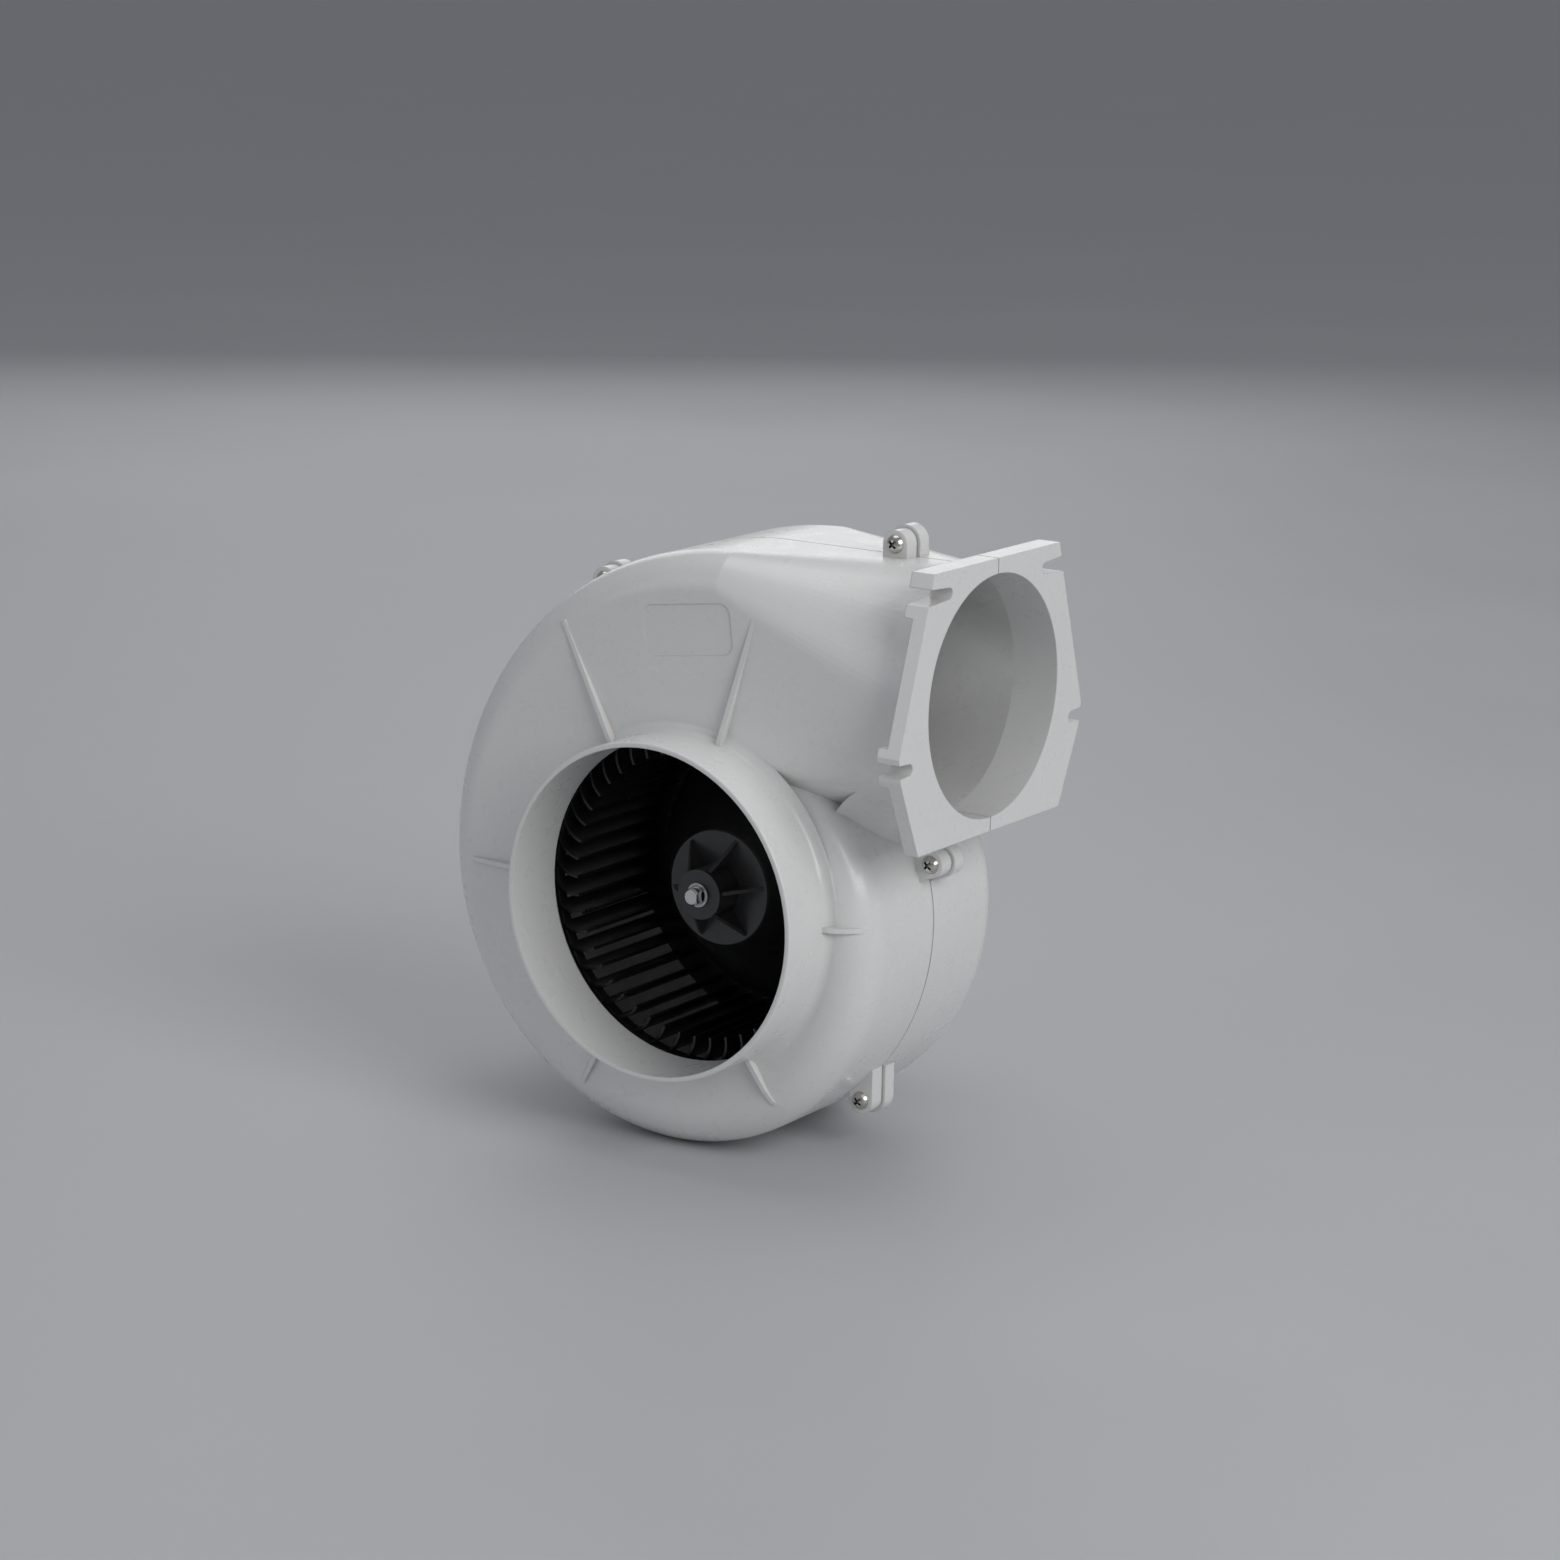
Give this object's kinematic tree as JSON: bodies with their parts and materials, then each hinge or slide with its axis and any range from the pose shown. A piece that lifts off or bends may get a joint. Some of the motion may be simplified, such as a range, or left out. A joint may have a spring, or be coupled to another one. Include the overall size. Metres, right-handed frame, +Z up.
{
  "type": "dc blower fan",
  "caption": "Flange-mounted centrifugal blower: split plastic scroll housing, round inlet collar, squirrel-cage impeller, square-flanged outlet and rear brush motor.",
  "frame": {"origin": "centre of the inlet collar's rim, on the shaft axis", "axes": "-Y out of the inlet along the shaft; +X out of the outlet; +Z up, with the outlet at the top of the scroll"},
  "size_m": [0.2487, 0.1764, 0.2633],
  "materials": {
    "housing_white": "satin-gloss white moulded plastic",
    "impeller_black": "gloss black moulded plastic",
    "screw_nickel": "nickel plated",
    "spring_steel": "bright spring steel",
    "shaft_steel": "ground steel",
    "can_black": "black enamel",
    "bell_zinc": "die-cast, as cast",
    "ferrite": "sintered ferrite, ground",
    "bronze": "sintered, oil-filled",
    "core_steel": "stamped laminations",
    "copper": "enamelled copper wire",
    "copper_bar": "turned copper",
    "washer": "fibre",
    "phenolic": "laminated phenolic",
    "box_brass": "stamped brass",
    "carbon": "pressed carbon",
    "grommet_rubber": "soft rubber"
  },
  "bodies": {
    "housing": {"front_housing": "housing_white", "rear_housing": "housing_white", "housing_screws": "screw_nickel", "motor_can": "can_black", "motor_end_bell": "bell_zinc", "tie_bolts": "screw_nickel", "motor_screws": "screw_nickel", "field_magnets": "ferrite", "magnet_springs": "spring_steel", "front_bearing": "bronze", "rear_bearing": "bronze", "brush_card": "phenolic", "brush_boxes": "box_brass", "brushes": "carbon", "brush_springs": "spring_steel", "lead_grommet": "grommet_rubber"},
    "rotor": {"impeller": "impeller_black", "hub_clip": "spring_steel", "motor_shaft": "shaft_steel", "armature_core": "core_steel", "armature_windings": "copper", "commutator": "copper_bar", "thrust_washers": "washer"}
  },
  "joints": [
    {"name": "rotor_spin", "type": "hinge", "parent": "housing", "child": "rotor", "pos_m": [0, 0, 0], "axis": [0, 1, 0], "continuous": true}
  ]
}
